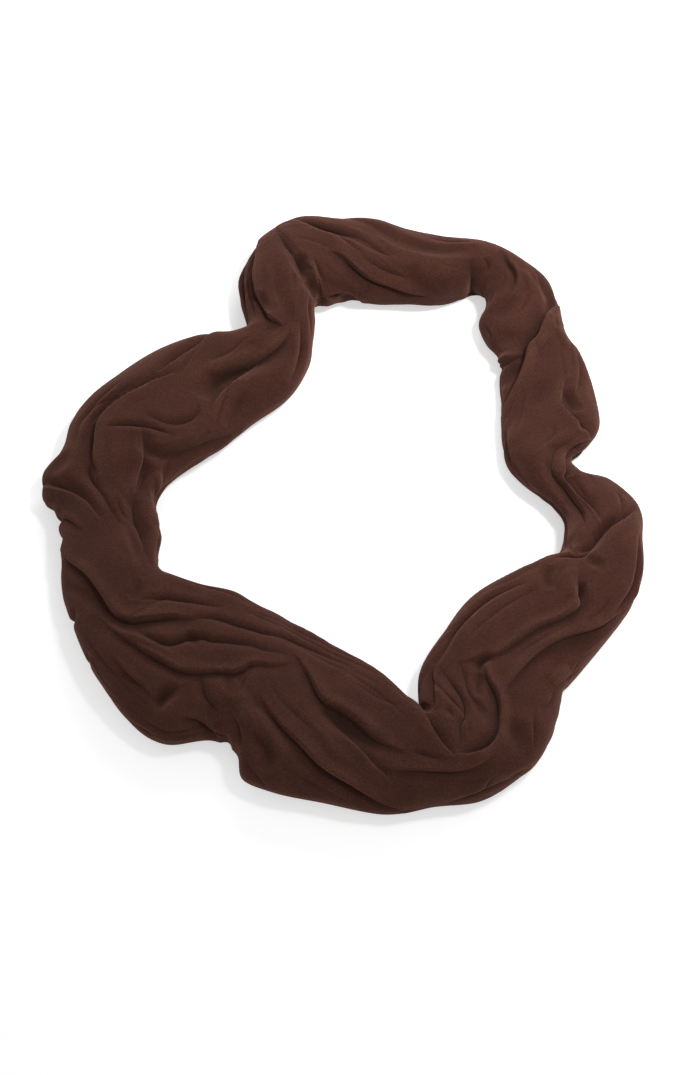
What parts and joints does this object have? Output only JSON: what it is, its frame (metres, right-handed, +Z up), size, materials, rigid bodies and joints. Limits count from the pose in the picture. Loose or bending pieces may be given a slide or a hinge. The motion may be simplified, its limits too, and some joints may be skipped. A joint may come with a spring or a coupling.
{
  "type": "infinity scarf",
  "caption": "Infinity scarf of brushed jersey: one closed loop, gathered and twisted, lying flat around an open middle.",
  "frame": {"origin": "on the surface that the scarf lies on, under the middle of its extent", "axes": "+Z up, +Y from the front of the loop to its back, +X to the right as seen from the front"},
  "size_m": [0.6363, 0.7297, 0.0639],
  "materials": {
    "jersey": "soft brushed cotton jersey, dark brown, short nap"
  },
  "bodies": {
    "root": {"back_left_bend": "jersey", "back_stretch": "jersey", "back_right_bend": "jersey", "right_stretch": "jersey", "right_bend": "jersey", "front_right_stretch": "jersey", "front_stretch": "jersey", "front_left_stretch": "jersey", "left_stretch": "jersey", "back_left_stretch": "jersey"}
  },
  "joints": []
}
